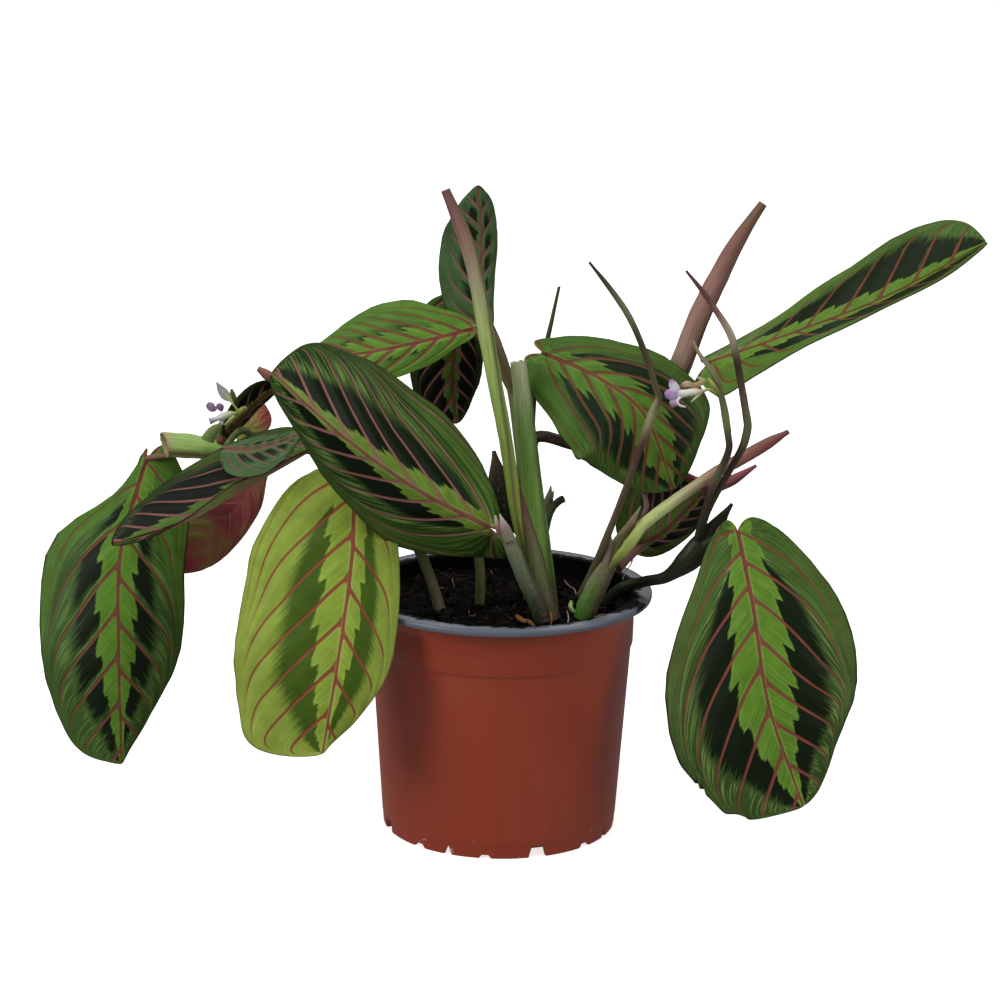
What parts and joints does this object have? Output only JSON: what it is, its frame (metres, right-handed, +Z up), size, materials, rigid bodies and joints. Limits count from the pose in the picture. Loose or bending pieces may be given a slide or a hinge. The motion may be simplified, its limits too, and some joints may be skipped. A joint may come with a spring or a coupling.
{
  "type": "potted prayer plant maranta",
  "caption": "Prayer plant with broad patterned leaves, rolled young leaves and thin flower stalks, growing in soil in a tapered nursery pot with a flanged lip.",
  "frame": {"origin": "on the pot's axis, at the surface that the pot stands on", "axes": "+Z up, -Y towards the side that the picture shows, +X to the right as seen from there"},
  "size_m": [0.3707, 0.1291, 0.2585],
  "materials": {
    "pot_plastic": "satin",
    "soil": "matte",
    "leaf_blade": "satin",
    "young_leaf_blade": "satin",
    "green_stem": "satin",
    "dark_stem": "satin",
    "rolled_leaf": "satin",
    "petal": "matte"
  },
  "bodies": {
    "root": {"pot": "pot_plastic", "soil": "soil", "leaf_01": "leaf_blade", "leaf_02": "young_leaf_blade", "leaf_03": "leaf_blade", "leaf_04": "leaf_blade", "leaf_05": "leaf_blade", "leaf_06": "leaf_blade", "leaf_07": "leaf_blade", "leaf_08": "leaf_blade", "leaf_09": "leaf_blade", "leaf_10": "leaf_blade", "leaf_11": "leaf_blade", "leaf_12": "leaf_blade", "leaf_13": "leaf_blade", "leaf_14": "leaf_blade", "leaf_15": "leaf_blade", "rolled_leaf_1": "rolled_leaf", "rolled_leaf_3": "rolled_leaf", "rolled_leaf_4": "green_stem", "bract_5": "rolled_leaf", "bud_left": "rolled_leaf", "cut_stalk": "green_stem", "stalk_2": "green_stem", "stalk_3": "green_stem", "stem_left": "green_stem", "stem_back": "green_stem", "stem_behind": "dark_stem", "stem_dark": "dark_stem", "shoot_small": "dark_stem", "flower_stalk_1": "dark_stem", "flower_stalk_2": "dark_stem", "flower_stalk_3": "dark_stem", "flower_left": "petal", "flower_right": "petal"}
  },
  "joints": []
}
